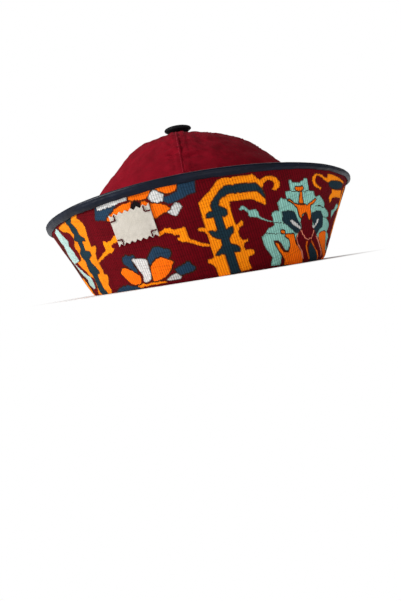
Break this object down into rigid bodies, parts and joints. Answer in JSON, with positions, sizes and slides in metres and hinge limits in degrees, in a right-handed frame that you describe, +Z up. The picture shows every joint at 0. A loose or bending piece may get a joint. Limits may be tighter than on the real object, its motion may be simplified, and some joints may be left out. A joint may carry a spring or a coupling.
{
  "type": "docker hat",
  "caption": "Close brimless cap with a four-panel crown, a deep flared turned-up cuff with a bound rim, a covered top button and a bare cloth patch.",
  "frame": {"origin": "on the surface that the hat rests on, under the middle of the hat", "axes": "+Z up through the middle of the crown; -Y towards the front of the hat; -X towards the wearer's right, where the patch is"},
  "size_m": [0.2508, 0.2702, 0.1299],
  "materials": {
    "crown_cloth": "matt plain-woven dark red cotton",
    "cuff_cloth": "ribbed woven dark red cloth with an all-over carpet pattern in amber, orange, turquoise, blue and white",
    "binding_cloth": "smooth navy-black bias strip with a soft sheen",
    "button_cloth": "smooth black cloth stretched over a button",
    "patch_cloth": "matt cream cotton, bare"
  },
  "bodies": {
    "root": {"crown_front": "crown_cloth", "crown_left": "crown_cloth", "crown_back": "crown_cloth", "crown_right": "crown_cloth", "cuff": "cuff_cloth", "binding": "binding_cloth", "top_button": "button_cloth", "label": "patch_cloth"}
  },
  "joints": []
}
